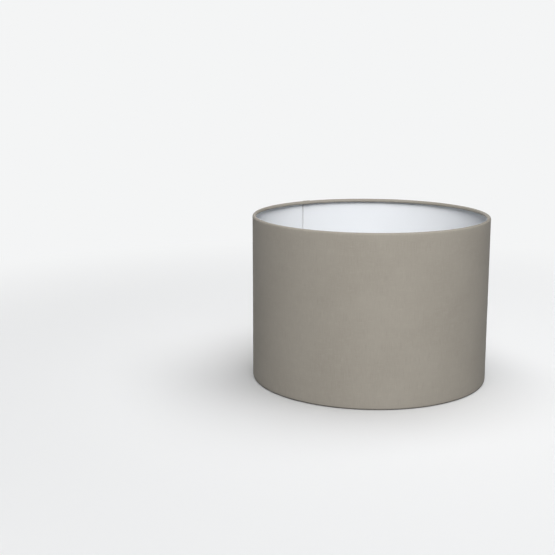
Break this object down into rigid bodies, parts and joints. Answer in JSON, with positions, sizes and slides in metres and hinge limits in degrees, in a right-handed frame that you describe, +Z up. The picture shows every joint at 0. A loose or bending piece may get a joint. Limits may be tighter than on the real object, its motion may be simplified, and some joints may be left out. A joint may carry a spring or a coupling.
{
  "type": "drum lamp shade",
  "caption": "Fabric drum lamp shade with a white inner liner, rolled hems over wire rings, and a spider with a fitter ring and lift-out reducer at the bottom.",
  "frame": {"origin": "centre of the drum's base, on the plane the bottom hem stands on", "axes": "+Z up along the drum's axis, -Y towards the front, +X to the right seen from the front; the seam is at the back left"},
  "size_m": [0.3, 0.3, 0.21],
  "materials": {
    "shade_fabric": "matt fine weave, taupe grey",
    "liner_pvc": "satin white sheet",
    "seam_tape": "clear adhesive tape",
    "ring_tape": "adhesive tape",
    "ring_wire": "white powder coat",
    "spider_wire": "white powder coat",
    "fitter_plate": "white powder coat",
    "reducer_plastic": "moulded white plastic"
  },
  "bodies": {
    "shade": {"fabric_cover": "shade_fabric", "liner": "liner_pvc", "seam_tape": "seam_tape", "top_ring": "ring_wire", "top_ring_tape": "ring_tape", "bottom_ring": "ring_wire", "bottom_ring_tape": "ring_tape", "arm_1": "spider_wire", "arm_2": "spider_wire", "arm_3": "spider_wire", "fitter_ring": "fitter_plate"},
    "reducer": {"reducer_ring": "reducer_plastic"}
  },
  "joints": [
    {"name": "reducer_lift", "type": "slide", "parent": "shade", "child": "reducer", "axis": [0, 0, 1], "range_m": [0, 0.22]}
  ]
}
